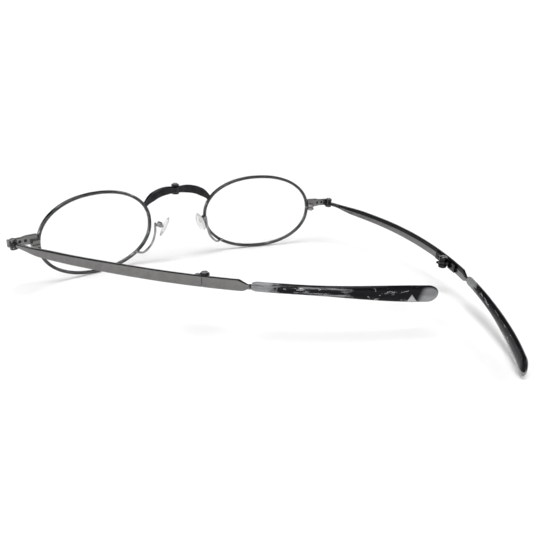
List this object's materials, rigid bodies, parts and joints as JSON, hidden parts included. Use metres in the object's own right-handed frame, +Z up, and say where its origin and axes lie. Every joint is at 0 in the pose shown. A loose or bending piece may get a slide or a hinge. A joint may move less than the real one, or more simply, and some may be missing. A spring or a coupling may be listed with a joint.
{
  "type": "folding reading glasses",
  "caption": "Oval metal reading glasses that fold at the bridge, at the endpieces and again midway along each temple, with marbled acetate tips and clear nose pads.",
  "frame": {"origin": "On the surface the glasses stand on, under the middle of their bounding box.", "axes": "+X towards the wearer's left, +Y from the lenses back towards the ears, +Z up. The glasses stand on the bottoms of both rims and on the right tip."},
  "size_m": [0.1256, 0.1356, 0.0281],
  "materials": {
    "gunmetal": "satin gunmetal plating",
    "dark_metal": "glossy dark gunmetal plating",
    "bright_steel": "plain steel",
    "lens": "clear polished lens",
    "acetate": "polished black and clear marbled acetate",
    "silicone": "clear silicone"
  },
  "bodies": {
    "front_left": {"rim_left": "gunmetal", "lens_left": "lens", "endpiece_left": "gunmetal", "rim_lock_left": "gunmetal", "rim_screw_left": "bright_steel", "bridge_half_left": "dark_metal", "pad_arm_left": "bright_steel", "pad_box_left": "bright_steel", "pad_screw_left": "bright_steel", "temple_screw_left": "bright_steel", "bridge_screw": "bright_steel"},
    "temple_front_left": {"temple_leaf_left": "gunmetal", "temple_front_left": "gunmetal", "fold_leaf_front_left": "dark_metal", "fold_screw_left": "bright_steel"},
    "temple_rear_left": {"fold_leaf_rear_left": "dark_metal", "temple_rear_left": "gunmetal", "core_wire_left": "dark_metal", "temple_tip_left": "acetate"},
    "pad_left": {"nose_pad_left": "silicone"},
    "front_right": {"rim_right": "gunmetal", "lens_right": "lens", "endpiece_right": "gunmetal", "rim_lock_right": "gunmetal", "rim_screw_right": "bright_steel", "bridge_half_right": "dark_metal", "pad_arm_right": "bright_steel", "pad_box_right": "bright_steel", "pad_screw_right": "bright_steel", "temple_screw_right": "bright_steel"},
    "temple_front_right": {"temple_leaf_right": "gunmetal", "temple_front_right": "gunmetal", "fold_leaf_front_right": "dark_metal", "fold_screw_right": "bright_steel"},
    "temple_rear_right": {"fold_leaf_rear_right": "dark_metal", "temple_rear_right": "gunmetal", "core_wire_right": "dark_metal", "temple_tip_right": "acetate"},
    "pad_right": {"nose_pad_right": "silicone"}
  },
  "joints": [
    {"name": "bridge_fold", "type": "hinge", "parent": "front_left", "child": "front_right", "pos_m": [0.00095, -0.06633, 0.02489], "axis": [0, 0.0444, 0.999], "range_deg": [0, 176]},
    {"name": "temple_fold_left", "type": "hinge", "parent": "front_left", "child": "temple_front_left", "pos_m": [0.06125, -0.05332, 0.0158], "axis": [0.153, 0.0358, 0.9876], "range_deg": [-29.3, 36]},
    {"name": "temple_midfold_left", "type": "hinge", "parent": "temple_front_left", "child": "temple_rear_left", "pos_m": [0.02514, 0.00257, 0.01493], "axis": [0, -0.0036, 1], "range_deg": [0, 80]},
    {"name": "pad_rock_left", "type": "hinge", "parent": "front_left", "child": "pad_left", "pos_m": [0.00919, -0.06137, 0.01353], "axis": [0.3902, 0.9196, -0.0463], "range_deg": [-8, 8]},
    {"name": "temple_fold_right", "type": "hinge", "parent": "front_right", "child": "temple_front_right", "pos_m": [-0.05935, -0.05332, 0.0158], "axis": [0, -0.0763, -0.9971], "range_deg": [0, 72]},
    {"name": "temple_midfold_right", "type": "hinge", "parent": "temple_front_right", "child": "temple_rear_right", "pos_m": [-0.05485, 0.01279, 0.00965], "axis": [0, -0.0764, -0.9971], "range_deg": [0, 160]},
    {"name": "pad_rock_right", "type": "hinge", "parent": "front_right", "child": "pad_right", "pos_m": [-0.00728, -0.06137, 0.01353], "axis": [-0.3902, 0.9196, -0.0463], "range_deg": [-8, 8]}
  ]
}
